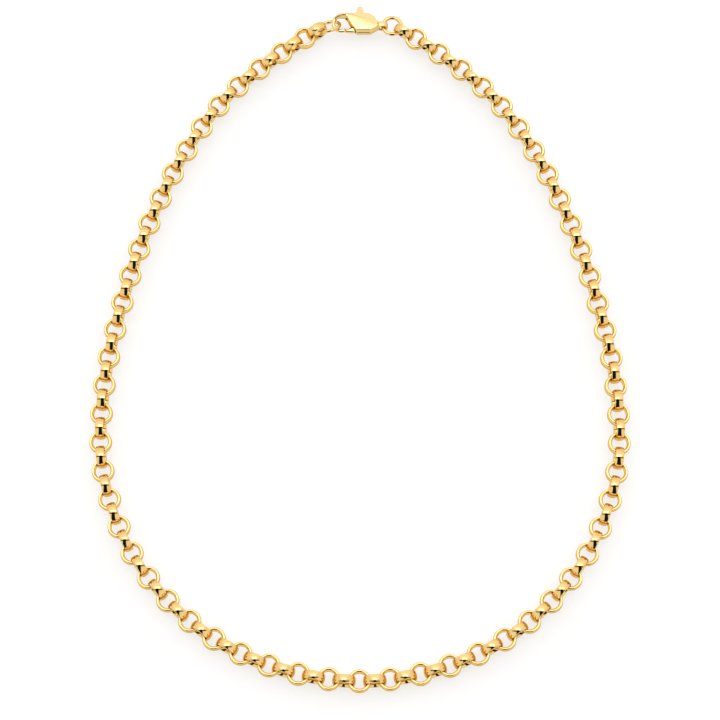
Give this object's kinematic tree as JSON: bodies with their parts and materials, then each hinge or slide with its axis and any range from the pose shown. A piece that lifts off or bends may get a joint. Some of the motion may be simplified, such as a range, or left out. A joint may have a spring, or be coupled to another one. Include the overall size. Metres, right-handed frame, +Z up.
{
  "type": "rolo chain necklace",
  "caption": "Gold-tone rolo chain necklace laid as an egg-shaped loop, its domed round links standing and lying by turns, closed by a lobster clasp with a sprung lever.",
  "frame": {"origin": "centre of the loop's bounding box, on the surface it lies on", "axes": "+X to the right, +Y from the loop's lowest link to the clasp, +Z up from the surface"},
  "size_m": [0.1291, 0.1739, 0.0054],
  "materials": {
    "chain": "polished",
    "rings": "polished",
    "clasp": "polished"
  },
  "bodies": {
    "necklace": {"chain_left": "chain", "chain_right": "chain", "end_ring": "rings", "jump_ring": "rings", "clasp_body": "clasp", "clasp_pin": "clasp"},
    "lever": {"clasp_lever": "clasp"}
  },
  "joints": [
    {"name": "lever_hinge", "type": "hinge", "parent": "necklace", "child": "lever", "pos_m": [0.0009, 0.0822, 0.00272], "axis": [0, 0, 1], "range_deg": [-22, 0], "stiffness_Nm_per_rad": 0.01}
  ]
}
